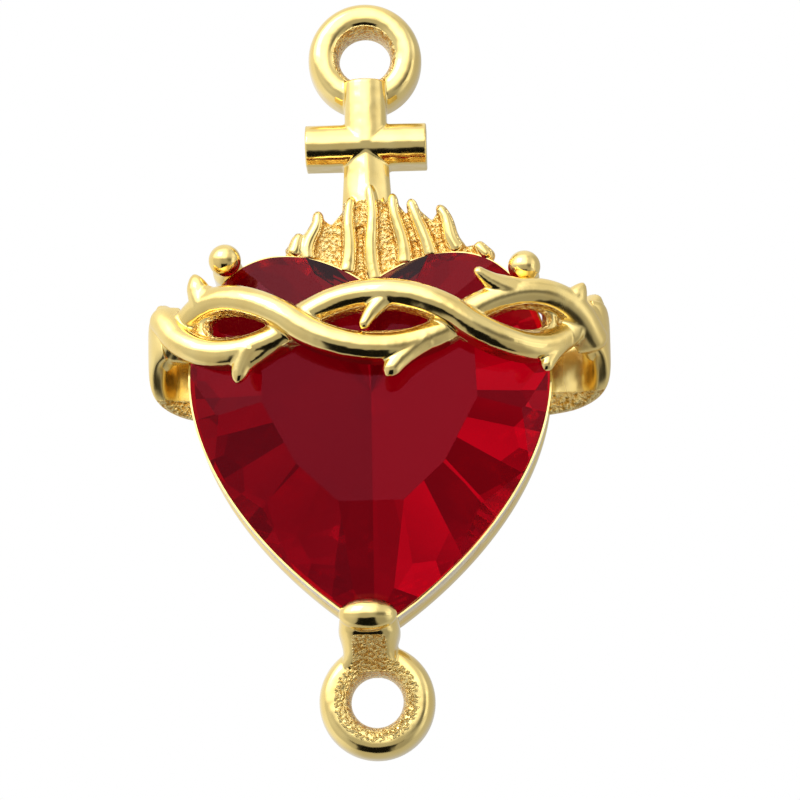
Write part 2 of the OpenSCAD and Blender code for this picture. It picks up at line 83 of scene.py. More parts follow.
# %% [markdown]
# ## Small tools for making closed shapes
# Most parts here are lofts: rings of points joined one after the other, with both ends closed,
# or a last ring joined to the first. One function makes them all. Recalculated normals point
# outwards, so it doesn't matter which way round a ring was drawn.

# %% Lofts, lathes and joined shapes
def shell(rings, loop=False):
    """Joins each ring of points to the next, and gives back (points, faces)."""
    rings = np.asarray(rings, float)
    rows, cols = rings.shape[:2]
    faces = []
    for r in range(rows if loop else rows - 1):
        r2 = (r + 1) % rows
        for c in range(cols):
            c2 = (c + 1) % cols
            faces.append((r * cols + c, r * cols + c2, r2 * cols + c2, r2 * cols + c))
    if not loop:
        faces.append(tuple(range(cols)))
        faces.append(tuple((rows - 1) * cols + c for c in range(cols)))
    return rings.reshape(-1, 3), faces


def lathe(section, centre, steps=128):
    """Turns a closed section of (radius, y) points round the line that runs along Y."""
    turns = np.arange(steps) * 2 * math.pi / steps
    rings = [[(centre[0] + r * math.cos(a), centre[1] + y, centre[2] + r * math.sin(a))
              for r, y in section] for a in turns]
    return shell(rings, loop=True)


def ball(centre, radii, rows=24, cols=32):
    rings = []
    for i in range(rows + 1):
        a = math.pi * (i + 0.02) / (rows + 0.04)
        rings.append([(centre[0] + radii[0] * math.sin(a) * math.cos(b),
                       centre[1] - radii[1] * math.cos(a),
                       centre[2] + radii[2] * math.sin(a) * math.sin(b))
                      for b in np.arange(cols) * 2 * math.pi / cols])
    return shell(rings)


def merged(parts):
    points, faces, start = [], [], 0
    for part_points, part_faces in parts:
        points.append(part_points)
        faces += [tuple(i + start for i in face) for face in part_faces]
        start += len(part_points)
    return np.vstack(points), faces


print("a ball is a loft too, of", len(ball((0, 0, 0), (1, 1, 1))[1]), "faces")

# %% [markdown]
# ## From points to Blender objects
# Cast metal has no sharp inner corners. Closed shapes that overlap are given a voxel remesh,
# which keeps only their common skin, and then a little smoothing, which rounds every joint as
# wax and casting do. The modifiers are turned into a plain mesh at once, so that later steps
# can read and mark its points.

# %% Make an object, and melt it
def made_object(name, shape):
    points, faces = shape
    mesh = bpy.data.meshes.new(name)
    mesh.from_pydata([tuple(p) for p in points], [], faces)
    tidy = bmesh.new()
    tidy.from_mesh(mesh)
    bmesh.ops.recalc_face_normals(tidy, faces=tidy.faces)
    tidy.to_mesh(mesh)
    tidy.free()
    obj = bpy.data.objects.new(name, mesh)
    bpy.context.scene.collection.objects.link(obj)
    return obj


def plain_mesh(obj):
    graph = bpy.context.evaluated_depsgraph_get()
    mesh = bpy.data.meshes.new_from_object(obj.evaluated_get(graph))
    obj.modifiers.clear()
    obj.data = mesh
    mesh.name = obj.name
    return obj


def melt(obj, voxel, rounds):
    """Welds overlapping shapes into one skin, and rounds their joints as casting does."""
    remesh = obj.modifiers.new("melt", "REMESH")
    remesh.mode = "VOXEL"
    remesh.voxel_size = voxel
    soften = obj.modifiers.new("soften", "SMOOTH")
    soften.factor = 0.5
    soften.iterations = rounds
    plain_mesh(obj)
    print(obj.name, "melted into", len(obj.data.polygons), "faces")
    return obj


def mix(a, b, s):
    """From a where s is 0 to b where s is 1."""
    return a + (b - a) * s


def unit(v):
    v = np.asarray(v, float)
    return v / np.linalg.norm(v)


def step_up(v, low, high):
    """Smoothly from 0 at low to 1 at high."""
    s = np.clip((v - low) / (high - low), 0, 1)
    return s * s * (3 - 2 * s)


print("halfway from 2 to 6 is", mix(2, 6, step_up(0.5, 0, 1)))

# %% [markdown]
# ## Sizes shared with the CAD model
# These are the CAD model's own sizes in millimetres, written again here. The heart's outline is
# the same curve with many more points, because its edge shows against white.

# %% Sizes and the heart's outline
HALF_W, LOBE_X, LOBE_TOP_R, WIDEST_DROP = 4.85, 2.4, 3.77, 3.35
LOBE_TOP_Z, STONE_H = -5.76, 10.2
WIDEST_Z, POINT_Z = LOBE_TOP_Z - WIDEST_DROP, LOBE_TOP_Z - STONE_H
FOOT_DROP = 1.84
FOOT_Z = POINT_Z - FOOT_DROP
SIDE_BEND, SIDE_FULLNESS = 1.9, 0.9
GIRDLE_Y, PAVILION_Y, TABLE_Y = -1.3, -1.18, -2.2
RIM_Y, WALL_BACK_Y = -1.16, 1.04
WEB_Y, EYE_R, HOLE_R = -0.85, 1.56, 0.7


def lobe_z(x):
    return LOBE_TOP_Z - LOBE_TOP_R + np.sqrt(LOBE_TOP_R ** 2 - (x - LOBE_X) ** 2)


def upper_edge_z(x):
    x = abs(x)
    if x < LOBE_X:
        return lobe_z(x)
    return WIDEST_Z + WIDEST_DROP * math.sqrt(max(0, 1 - ((x - LOBE_X) / (HALF_W - LOBE_X)) ** 2))


def heart_half():
    """The right half from the point up its side, round the lobe and in to the cleft."""
    u = np.linspace(1, 0, 400) ** 1.15
    side = np.column_stack([HALF_W * (1 - u ** SIDE_BEND) ** SIDE_FULLNESS,
                            WIDEST_Z - (WIDEST_Z - POINT_Z) * u])
    a = np.linspace(0, math.pi / 2, 300)[1:]
    shoulder = np.column_stack([LOBE_X + (HALF_W - LOBE_X) * np.cos(a),
                                WIDEST_Z + WIDEST_DROP * np.sin(a)])
    x = np.linspace(LOBE_X, 0, 160)[1:]
    return np.vstack([side, shoulder, np.column_stack([x, lobe_z(x)])])


def evenly(points, count):
    """The same line with its points at equal distances."""
    along = np.concatenate([[0], np.cumsum(np.linalg.norm(np.diff(points, axis=0), axis=1))])
    at = np.linspace(0, along[-1], count)
    return np.column_stack([np.interp(at, along, points[:, i]) for i in range(points.shape[1])])


OUTLINE_HALF = 180
half = evenly(heart_half(), OUTLINE_HALF + 1)
outline = np.vstack([half, [(-x, z) for x, z in half[-2:0:-1]]])


def grown(points, d):
    """The closed outline moved outwards by d, with its corners kept sharp."""
    before, after = np.roll(points, 1, axis=0), np.roll(points, -1, axis=0)

    def normal(a, b):
        v = b - a
        n = np.column_stack([v[:, 1], -v[:, 0]])
        return n / np.linalg.norm(n, axis=1)[:, None]

    n1, n2 = normal(before, points), normal(points, after)
    m = n1 + n2
    m /= np.linalg.norm(m, axis=1)[:, None]
    return points + d * m / np.maximum(0.5, (m * n1).sum(1))[:, None]


print("outline of", len(outline), "points, from", outline.min(0), "to", outline.max(0))

# %% [markdown]
# ## One tree that follows a path
# The vine's strands, its thorns and the flames are all a rounded bar that follows a line and
# changes its size on the way. A geometry node tree makes every one of them: each line is a row
# of points that carries two attributes, the way its front faces and its size there. The tree
# turns the rows into curves, gives them those normals, and sweeps one section along. On that
# section X looks forwards and Y across, so its front half can be deeper than its back half, and
# the back half can be squared off and flared until it looks like a casting's flat underside.

# %% Build the sweeping tree
class Tree:
    """Adds nodes to a node tree: settings first, then values or links for its sockets."""

    def __init__(self, tree):
        self.tree = tree

    def add(self, kind, settings=None, inputs=None, output=0):
        node = self.tree.nodes.new(kind)
        for name, value in (settings or {}).items():
            setattr(node, name, value)
        for name, value in (inputs or {}).items():
            if isinstance(value, Wire):
                self.tree.links.new(value.socket, node.inputs[name])
            else:
                node.inputs[name].default_value = value
        return Wire(self, node.outputs[output]) if node.outputs else None


class Wire:
    """A socket that Python's operators work on, each adding its Math node."""

    def __init__(self, tree, socket):
        self.tree, self.socket = tree, socket

    def maths(self, operation, a, b=0.0):
        return self.tree.add("ShaderNodeMath", {"operation": operation}, {0: a, 1: b})

    def __add__(self, other):
        return self.maths("ADD", self, other)

    def __sub__(self, other):
        return self.maths("SUBTRACT", self, other)

    def __mul__(self, other):
        return self.maths("MULTIPLY", self, other)

    def __rsub__(self, other):
        return self.maths("SUBTRACT", other, self)

    def __rtruediv__(self, other):
        return self.maths("DIVIDE", other, self)

    __radd__, __rmul__ = __add__, __mul__

    def __abs__(self):
        return self.maths("ABSOLUTE", self)

    def most(self, other):
        return self.maths("MAXIMUM", self, other)

    def ramp(self, low, high):
        """Smoothly from 0 where the value is low to 1 where it is high."""
        return self.tree.add("ShaderNodeMapRange", {"interpolation_type": "SMOOTHSTEP"},
                             {"Value": self, "From Min": low, "From Max": high})


def sweep_tree():
    group = bpy.data.node_groups.new("rounded bar along a path", "GeometryNodeTree")
    for name, kind in (("Paths", "NodeSocketGeometry"), ("Width", "NodeSocketFloat"),
                       ("Front depth", "NodeSocketFloat"), ("Back depth", "NodeSocketFloat"),
                       ("Square back", "NodeSocketFloat"), ("Back flare", "NodeSocketFloat"),
                       ("Sides", "NodeSocketInt"), ("Finish", "NodeSocketMaterial")):
        group.interface.new_socket(name, in_out="INPUT", socket_type=kind)
    group.interface.new_socket("Bars", in_out="OUTPUT", socket_type="NodeSocketGeometry")
    t = Tree(group)
    entry = group.nodes.new("NodeGroupInput")
    given = {s.name: Wire(t, s) for s in entry.outputs if s.name}
    facing = t.add("GeometryNodeInputNamedAttribute", {"data_type": "FLOAT_VECTOR"},
                   {"Name": "facing"})
    size = t.add("GeometryNodeInputNamedAttribute", {"data_type": "FLOAT"}, {"Name": "size"})
    path = t.add("GeometryNodeMeshToCurve", {}, {"Mesh": given["Paths"]})
    path = t.add("GeometryNodeSetCurveNormal", {"mode": "FREE"}, {"Curve": path, "Normal": facing})
    ring = t.add("GeometryNodeCurvePrimitiveCircle", {},
                 {"Resolution": given["Sides"], "Radius": 1.0})
    position = t.add("GeometryNodeInputPosition")
    x = t.add("ShaderNodeSeparateXYZ", {}, {0: position}, 0)
    y = t.add("ShaderNodeSeparateXYZ", {}, {0: position}, 1)
    behind = x.maths("LESS_THAN", x, 0.0) * given["Square back"]
    widest = abs(x).most(abs(y))
    squared = 1.0 + behind * (1.0 / widest - 1.0)
    flared = 1.0 + behind * (0.0 - x) * given["Back flare"]
    depth = t.add("GeometryNodeSwitch", {"input_type": "FLOAT"},
                  {"Switch": x.maths("GREATER_THAN", x, 0.0), "False": given["Back depth"],
                   "True": given["Front depth"]})
    shaped = t.add("ShaderNodeCombineXYZ", {},
                   {0: x * squared * depth, 1: y * squared * flared * given["Width"] * 0.5, 2: 0.0})
    ring = t.add("GeometryNodeSetPosition", {}, {"Geometry": ring, "Position": shaped})
    bars = t.add("GeometryNodeCurveToMesh", {},
                 {"Curve": path, "Profile Curve": ring, "Scale": size, "Fill Caps": True})
    bars = t.add("GeometryNodeRealizeInstances", {}, {0: bars})
    bars = t.add("GeometryNodeSetMaterial", {}, {"Geometry": bars, "Material": given["Finish"]})
    leave = group.nodes.new("NodeGroupOutput")
    group.links.new(bars.socket, leave.inputs[0])
    return group


SWEEP = sweep_tree()
print("sweeping tree of", len(SWEEP.nodes), "nodes")


def bars_along(name, paths, width, front, back_depth, square=0.0, flare=0.0, sides=24):
    """Sweeps a rounded bar along each path of (point, facing, size) rows."""
    points = [row[0] for path in paths for row in path]
    edges, start = [], 0
    for path in paths:
        edges += [(start + i, start + i + 1) for i in range(len(path) - 1)]
        start += len(path)
    mesh = bpy.data.meshes.new(name)
    mesh.from_pydata([tuple(p) for p in points], edges, [])
    facing = mesh.attributes.new("facing", "FLOAT_VECTOR", "POINT")
    facing.data.foreach_set("vector", np.array([row[1] for path in paths for row in path]).ravel())
    size = mesh.attributes.new("size", "FLOAT", "POINT")
    size.data.foreach_set("value", np.array([row[2] for path in paths for row in path], float))
    obj = bpy.data.objects.new(name, mesh)
    bpy.context.scene.collection.objects.link(obj)
    modifier = obj.modifiers.new("sweep", "NODES")
    modifier.node_group = SWEEP
    values = {"Width": float(width), "Front depth": float(front), "Back depth": float(back_depth),
              "Square back": square, "Back flare": flare, "Sides": sides}
    for item in SWEEP.interface.items_tree:
        if item.in_out == "INPUT" and item.name in values:
            modifier[item.identifier] = values[item.name]
    plain_mesh(obj)
    shape = (np.array([tuple(v.co) for v in obj.data.vertices]),
             [tuple(p.vertices) for p in obj.data.polygons])
    bpy.data.objects.remove(obj)
    print(name, "swept along", len(paths), "paths into", len(shape[1]), "faces")
    return shape


# %% [markdown]
# ## The thorn vine
# The vine is two strands twisted round each other like a rope that was pressed flat, bent round
# the stone's front. Each strand swings up and down as a cosine, and in and out as a sine, so
# they pass over each other at every odd quarter turn. The thorns are short bars that shrink and
# bend on the way. All of it is melted together, because the real one was cast from one wax.

# %% The band and its strands
VINE_SHIFT, TWIST_RISE, TWIST_OUT, CROSSING_X = 0.25, 0.74, 0.2, 2.22
STRAND_W, STRAND_BACK, VINE_SWEEP, OVER_STONE = 0.74, 0.45, 2.9, 0.12
BAND_LIFT, BAND_DROOP = 0.4, 0.15
BAND_X = HALF_W + 1.12
CROSSING_T = math.asin(CROSSING_X / BAND_X)
BAND_Y = TABLE_Y - OVER_STONE - STRAND_BACK - TWIST_OUT - VINE_SWEEP * (1 - math.cos(CROSSING_T))
BAND_Z = LOBE_TOP_Z - 2.2
LUG_Y = -1.2
LUG_T = math.acos(1 - (LUG_Y - BAND_Y) / VINE_SWEEP)
BAND_END = LUG_T + math.radians(6)


def band_y(t):
    return BAND_Y + VINE_SWEEP * (1 - np.cos(t))


def band_z(t):
    return BAND_Z + BAND_LIFT * (1 - np.cos(t)) - BAND_DROOP * (t / LUG_T) ** 4


def band(t):
    return np.array([VINE_SHIFT + BAND_X * math.sin(t), band_y(t), band_z(t)])


def band_out(t):
    return unit([math.sin(t) / BAND_X, -math.cos(t) / VINE_SWEEP, 0])


def fuller(v, power):
    """A power that keeps the sign: below 1 it squares a sine's shape off."""
    return math.copysign(abs(v) ** power, v)


def strand(side, t):
    turn = math.pi / 2 * t / CROSSING_T
    rise = TWIST_RISE * side * fuller(math.cos(turn), 0.8)
    return band(t) + band_out(t) * TWIST_OUT * side * math.sin(turn) + np.array([0, 0, rise])


def strand_gap(t):
    """How far each strand stands above or below the band's middle."""
    return abs(strand(1, t)[2] - band(t)[2])


def smoothed(points, rounds):
    points = points.copy()
    for _ in range(rounds):
        points[1:-1] = 0.25 * points[:-2] + 0.5 * points[1:-1] + 0.25 * points[2:]
    return points


STRAND_TAPER = 0.09


def strand_path(side, rows=240):
    turns = np.linspace(-BAND_END, BAND_END, rows)
    points = smoothed(np.array([strand(side, t) for t in turns]), 12)
    return [(p, band_out(t), 1 - 0.5 * float(step_up(abs(t), BAND_END - STRAND_TAPER, BAND_END)))
            for p, t in zip(points, turns)]


print("strands cross at x =", round(VINE_SHIFT - CROSSING_X, 2), "and", VINE_SHIFT + CROSSING_X,
      "mm and end", round(math.degrees(BAND_END)), "degrees round the stone")

# %% [markdown]
# ## The vine's ends and windows
# Past the last crossing on each side the real strands run together into one flat band. Between
# the crossings there are three windows with a raised rough lip, where the wax was pressed thin,
# and in the outer two that thin wax still closes the far end. Each end is a loft of rings that
# stand across the band, each lip is one more swept bar, and the two walls are lofts again.

# %% The ends and the windows' rims
END_START = 3 * CROSSING_T - math.radians(9)
END_FRONT, END_SWELL, END_BACK, END_OVER = {-1: 0.34, 1: 0.4}, {-1: 1.8, 1: 3}, 0.36, 0.34
LIP_H, LIP_SUNK, LIP_REACH, LIP_SHORT = 0.44, 0.14, 0.86, 0.42
PLUG_START, PLUG_THICK, PLUG_SUNK, PLUG_OVER = 2.29, 0.14, 0.2, 0.05


def end_fill(sign, rows=24):
    """Past the last crossing the strands spread into one solid band."""
    rings = []
    for i in range(rows):
        t = mix(END_START, BAND_END, i / (rows - 1))
        half_h = strand_gap(t) + END_OVER
        swelling = (t - END_START) / (LUG_T - END_START) * END_SWELL[sign]
        front = END_FRONT[sign] * min(1, swelling)
        ring = []
        for a in np.arange(40) * 2 * math.pi / 40:
            depth = (front if math.cos(a) > 0 else END_BACK) * fuller(math.cos(a), 0.6)
            ring.append(band(sign * t) + np.array([0, 0, half_h * math.sin(a)])
                        + band_out(sign * t) * depth)
        rings.append(ring)
    return shell(rings)


def rim_path(place, rows=60):
    """A lip that runs round window -1, 0 or 1, behind the strands."""
    path = []
    for a in np.linspace(0, 2 * math.pi, rows):
        outwards = math.cos(a) * place > 0
        t = (2 * place + (LIP_SHORT if outwards else LIP_REACH) * math.cos(a)) * CROSSING_T
        point = band(t) + np.array([0, 0, LIP_H * math.sin(a)]) - band_out(t) * LIP_SUNK
        path.append((point, band_out(t), 1.0))
    return path


def plug(sign):
    """The far end of an outer window isn't open: a sunk rough wall closes it."""
    rings = []
    for t in np.linspace(PLUG_START, 3, 16) * CROSSING_T:
        half_h = strand_gap(t) + PLUG_OVER
        ring = []
        for a in np.arange(24) * 2 * math.pi / 24:
            depth = PLUG_THICK * fuller(math.cos(a), 0.5) - PLUG_SUNK
            ring.append(band(sign * t) + np.array([0, 0, half_h * fuller(math.sin(a), 0.5)])
                        + band_out(sign * t) * depth)
        rings.append(ring)
    return shell(rings)


for window in (-1, 0, 1):
    print("window", window, "has its middle at x =", round(float(band(2 * window * CROSSING_T)[0]), 2))

# %% [markdown]
# ## The thorns
# Each thorn grows out of a strand, bends at a knee and ends in a round tip. Its line is a curve
# through three points, swept with a size that shrinks on the way. A second, straight bar braces
# the knee from further along the strand, which gives the broad root that a cut-off twig has.
# Melting thins what it rounds, so root and tip start a little too thick.

# %% The thorns, and the vine melted together
# Strand, angle, then in strand widths: lean, rise, root and tip radius; run of the root in degrees
THORNS = [
    (-1, -52, -0.2, 0.82, 0.46, 0.32, 6),
    (1, -35, -0.4, -1.04, 0.48, 0.22, 11),
    (1, 4, -1, -1.2, 0.36, 0.16, 0),
    (-1, 13, -1.3, -1.2, 0.46, 0.28, 11),
    (-1, 39, -1.5, 0.7, 0.42, 0.14, 6),
    (1, 61, -1.2, -1.35, 0.46, 0.2, 9),
    (-1, 58, 0.25, 0.4, 0.42, 0.36, 5)]
THORN_ROWS, THORN_OUT, THORN_KNEE = 26, 0.12, 0.12
ROOT_EXTRA, TIP_EXTRA, MELT_LOSS = 1.12, 1.2, 0.03
VOXEL = 0.034


def thorn_paths(row):
    """The thorn itself, and a brace from the far end of its root to its knee."""
    side, angle = row[0], math.radians(row[1])
    lean, rise, root_r, tip_r = (v * STRAND_W for v in row[2:6])
    root_r, tip_r = ROOT_EXTRA * root_r, TIP_EXTRA * tip_r
    out = band_out(angle)
    along = np.array([-out[1], out[0], 0])
    root = strand(side, angle)
    tip = root + lean * along + np.array([0, 0, rise]) + THORN_OUT * out
    knee = (root + tip) / 2 + THORN_KNEE * lean * along
    length = np.linalg.norm(tip - root) + tip_r
    path = []
    for i in range(THORN_ROWS):
        s = i / (THORN_ROWS - 1)
        bent = (1 - s) ** 2 * root + 2 * s * (1 - s) * (2 * knee - (root + tip) / 2) + s * s * tip
        bent = bent + unit(tip - knee) * tip_r * s ** 6
        left = (1 - s) * length / tip_r
        size = mix(root_r, tip_r, s ** 1.2) * math.sqrt(max(0.02, 1 - max(0, 1 - left) ** 2))
        path.append((bent, out, size))
    far = strand(side, angle + math.radians(row[6]))
    knee_r = mix(root_r, tip_r, 0.5)
    brace = [(mix(far, mix(knee, tip, 0.25), s), out, mix(0.85 * root_r, knee_r * 0.8, s))
             for s in np.linspace(0, 1, 10)]
    return [path, brace] if row[6] else [path]


vine_shape = merged([
    bars_along("strands", [strand_path(-1), strand_path(1)], width=STRAND_W + MELT_LOSS,
               front=0.37, back_depth=0.42, square=1.0, flare=0.12, sides=40),
    bars_along("rims", [rim_path(place) for place in (-1, 0, 1)], width=0.34, front=0.14,
               back_depth=0.2),
    end_fill(-1), end_fill(1), plug(-1), plug(1),
    bars_along("thorns", [path for row in THORNS for path in thorn_paths(row)], width=2, front=1,
               back_depth=1)])
vine = made_object("vine", vine_shape)
melt(vine, VOXEL, 4)

# %% [markdown]
# ## The upper casting: eye, cross and flames
# These flow into each other as wax does, so they are built as separate closed shapes and melted
# together. The eye is a slightly squared oval section, turned on a lathe. The cross is three
# bars with a rounded front and a flat back: the lower one grows wider downwards, and the upper
# one shrinks away below the arms.

# %% The eye and the cross
def superellipse(half_w, half_d, power, steps=40):
    angles = np.arange(steps) * 2 * math.pi / steps
    return [(half_w * fuller(math.cos(a), 2 / power), half_d * fuller(math.sin(a), 2 / power))
            for a in angles]


def eye(z, half_depth=0.75):
    middle, half_w = (EYE_R + HOLE_R) / 2, (EYE_R - HOLE_R) / 2
    section = [(middle + x, y) for x, y in superellipse(half_w, half_depth, 2.7)]
    return lathe(section, (0, 0, z))


CROSS_FRONT_Y, ARM_FRONT, CROSS_BACK = -1.1, 0.483, 0.2
CROSS_FLAT_Y = CROSS_FRONT_Y + ARM_FRONT
POST_TOP_Z, ARM_Z, ARM_REACH, ARM_HALF, POST_HALF = -0.75, -2.52, 1.66, 0.575, 0.65


def bar(places, half_w, front, power, across):
    """A bar with a rounded front through (x, z, size) places in the plane of the pendant."""
    section = [(half_w * fuller(math.cos(a), power), front * fuller(math.sin(a), power))
               for a in np.linspace(0, math.pi, 25)]
    rings = []
    for x, z, size in places:
        ring = [(x + across[0] * w * size, CROSS_FLAT_Y - d * size, z + across[1] * w * size)
                for w, d in section]
        ring += [(x + across[0] * w * size, CROSS_BACK, z + across[1] * w * size)
                 for w in (-half_w, half_w)]
        rings.append(ring)
    return shell(rings)


def cross():
    upper = bar([(0, POST_TOP_Z, 1), (0, ARM_Z, 1), (0, ARM_Z - 0.3, 0.8), (0, ARM_Z - 0.62, 0.1)],
                half_w=ARM_HALF, front=0.5, power=0.95, across=(1, 0))
    lower = bar([(0, ARM_Z - 0.1, 0.9), (0, ARM_Z - 0.7, 0.95), (0, ARM_Z - 2.4, 1.1)],
                half_w=POST_HALF, front=0.44, power=1.35, across=(1, 0))
    arms = bar([(-ARM_REACH, ARM_Z, 1), (ARM_REACH, ARM_Z, 1)],
               half_w=ARM_HALF, front=ARM_FRONT, power=1.15, across=(0, 1))
    return [upper, lower, arms]


print("cross of", [len(faces) for _, faces in cross()], "faces, its arms", 2 * ARM_REACH, "mm wide")

# %% [markdown]
# ## The flames and their web
# Eight flames fan out behind the cross. They are swept bars again, each with a slight wave and a
# round tip. The outer ones also have a round foot, because theirs shows; the others grow out of
# the casting. The web behind them is a flat plate with a zigzag top, and its hollows stay rough,
# because no polishing wheel reaches them.

# %% The flames, and the upper casting melted together
# Where each flame's root and tip stand across, its share of the tallest one's height, its wave
FLAMES = [
    (-2.1, -1.77, 0.33, 0.03),
    (-1.62, -1.36, 0.64, -0.08),
    (-0.57, -0.42, 0.82, 0.04),
    (0.19, 0.05, 1, -0.06),
    (1, 0.71, 0.86, 0.05),
    (1.7, 1.18, 0.78, 0.02),
    (2.5, 1.92, 0.68, -0.06),
    (3.35, 2.95, 0.16, 0)]
FLAME_RISE, FLAME_ROWS, ROOT_LIFT = 2.08, 40, 0.05
TIP_ROUND, FOOT_ROUND, OUTER_FLAMES = 0.12, 0.06, 1.9
WEB_TIP, WEB_DIP, WEB_LEAN, WEB_FRONT, WEB_BACK = 0.92, 0.7, 0.6, 0.12, 1.1


def flame_path(row):
    root_x, tip_x, share, bend = row
    root_z, tip_z = upper_edge_z(root_x) + ROOT_LIFT, LOBE_TOP_Z + share * FLAME_RISE
    path = []
    for i in range(FLAME_ROWS):
        s = i / (FLAME_ROWS - 1)
        x = mix(root_x, tip_x, s) + bend * math.sin(2 * math.pi * s)
        y = WEB_Y + 0.1 - 0.2 * step_up(s, -0.3, 0.8)
        tip = math.sqrt(max(0.01, 1 - max(0, s - (1 - TIP_ROUND)) ** 2 / TIP_ROUND ** 2))
        foot = 1
        if abs(root_x) > OUTER_FLAMES:
            foot = math.sqrt(max(0.05, 1 - max(0, 1 - s * share / FOOT_ROUND) ** 2))
        path.append(((x, y, mix(root_z, tip_z, s)), (0, -1, 0), mix(1, 0.45, s) * tip * foot))
    return path


def plate(points, y0, y1):
    return shell([[(x, y0, z) for x, z in points], [(x, y1, z) for x, z in points]])


def web():
    """Its top rises behind each flame and dips between two; its foot follows the heart."""
    top = []
    for i, row in enumerate(FLAMES):
        top.append((mix(row[0], row[1], WEB_TIP), LOBE_TOP_Z + WEB_TIP * row[2] * FLAME_RISE))
        if i + 1 < len(FLAMES):
            nxt = FLAMES[i + 1]
            rise = FLAME_RISE * min(row[2], nxt[2])
            top.append((mix((row[0] + nxt[0]) / 2, (row[1] + nxt[1]) / 2, WEB_LEAN),
                        LOBE_TOP_Z + WEB_DIP * rise))
    right_end, left_end = FLAMES[-1][0] + 0.1, FLAMES[0][0] - 0.2
    edge = [(x, upper_edge_z(x) + ROOT_LIFT) for x in np.linspace(right_end, left_end, 60)]
    return plate(top + edge, WEB_Y - WEB_FRONT, WEB_Y + WEB_BACK)


flames = bars_along("flames", [flame_path(row) for row in FLAMES], width=0.6, front=0.44,
                    back_depth=0.1)
crown = made_object("upper_casting", merged([eye(0), web()] + cross() + [flames]))
melt(crown, VOXEL, 4)

# %% [markdown]
# ## The lower casting
# An oval head holds the stone's point. Behind it a stem runs back past the rim, and a neck runs
# down to the bottom eye, which is the top eye over again.

# %% The point's prong and the bottom eye
TOE_X, TOE_Y, TOE_LIFT, TOE_RADII = -0.16, -1.92, 0.28, (0.78, 0.48, 0.45)
NECK_BACK = 0.6
# From the oval head down to the eye: height over the stone's point, half width, and front
NECK = [
    (0.62, 0.6, -1.6), (0.3, 0.8, -1.72), (0, 0.83, -1.74), (-0.12, 0.82, -1.7),
    (-0.28, 0.77, -1.56), (-0.45, 0.73, -1.38), (-0.62, 0.72, -1.2), (-0.78, 0.77, -1.03),
    (-0.94, 0.9, -0.86), (-1.1, 1.1, -0.7)]


def neck():
    rings = []
    for height, half_w, front in NECK:
        middle, half_d = (front + NECK_BACK) / 2, (NECK_BACK - front) / 2
        rings.append([(TOE_X + half_w * fuller(math.cos(a), 0.6),
                       middle + half_d * fuller(math.sin(a), 0.6), height + POINT_Z)
                      for a in np.arange(40) * 2 * math.pi / 40])
    return shell(rings)


head = ball((TOE_X, TOE_Y, POINT_Z + TOE_LIFT), TOE_RADII)
toe = made_object("lower_casting", merged([head, neck(), eye(FOOT_Z)]))
melt(toe, 0.032, 5)

# %% [markdown]
# ## The basket
# The wall is one section carried round the heart: a thin rim, a bevelled ledge under the stone,
# and a shallow groove outside between two rails. Its rim is thinner than any melting could
# keep, so it stays a plain loft.

# %% The wall
# How far each point stands out from the stone's outline, and its place from front to back
wall_section = [(0.06, RIM_Y), (0.06, -0.63), (0.045, -0.58), (0.015, -0.52), (0.01, -0.4),
                (0.01, 0.28), (0.015, 0.4), (0.045, 0.46), (0.06, 0.51), (0.06, 1.0),
                (0.03, WALL_BACK_Y), (-0.32, WALL_BACK_Y), (-0.35, 1.01), (-0.35, RIM_Y + 0.28),
                (0.01, RIM_Y)]
wall_rings = [grown(outline, out) for out, _ in wall_section]
wall = made_object("basket_wall", shell(
    [[(wall_rings[k][i][0], wall_section[k][1], wall_rings[k][i][1])
      for k in range(len(wall_section))] for i in range(len(outline))], loop=True))
print("wall of", len(wall.data.polygons), "faces")

# %% [markdown]
# ## The upper prongs
# Two round stems stand against the wall's shoulders, each with a ball on top that was pushed
# over the stone's edge. They stand on the same oval as the shoulder, a little further out, and
# the right one sits lower on it than the left one, as it does on the real pendant.

# %% The upper prongs
PRONG_OUT, BALL_R, BALL_Y = 0.34, 0.44, GIRDLE_Y - 0.55
# Radius and place from front to back
PRONG_STEM = [(0.23, -1.8), (0.25, -1.5), (0.26, -1.1), (0.3, -0.95), (0.38, -0.7), (0.42, -0.5),
              (0.42, 0.84)]


def prong(angle, side):
    a = math.radians(angle)
    size = np.array([HALF_W - LOBE_X, WIDEST_DROP])
    out = unit([math.cos(a) / size[0], math.sin(a) / size[1]])
    x, z = np.array([LOBE_X, WIDEST_Z]) + size * [math.cos(a), math.sin(a)] + PRONG_OUT * out
    rings = [[(side * x + r * math.cos(b), y, z + r * math.sin(b))
              for b in np.arange(32) * 2 * math.pi / 32] for r, y in PRONG_STEM]
    return [ball((side * x, BALL_Y, z), (BALL_R, BALL_R, BALL_R)), shell(rings)]


prongs = made_object("upper_prongs", merged(prong(50, 1) + prong(60, -1)))
melt(prongs, 0.03, 3)

# %% [markdown]
# ## The side lugs
# A lug is a strap that starts behind the vine's end, swings out past the basket and comes back
# into its wall. It is lofted from one table of places along it, with the table's steps smoothed
# away, and the section is a rectangle with round corners.

# %% The side lugs
LUG_LEAD, LUG_LEAD_Z = BAND_X * math.sin(LUG_T), band_z(LUG_T)
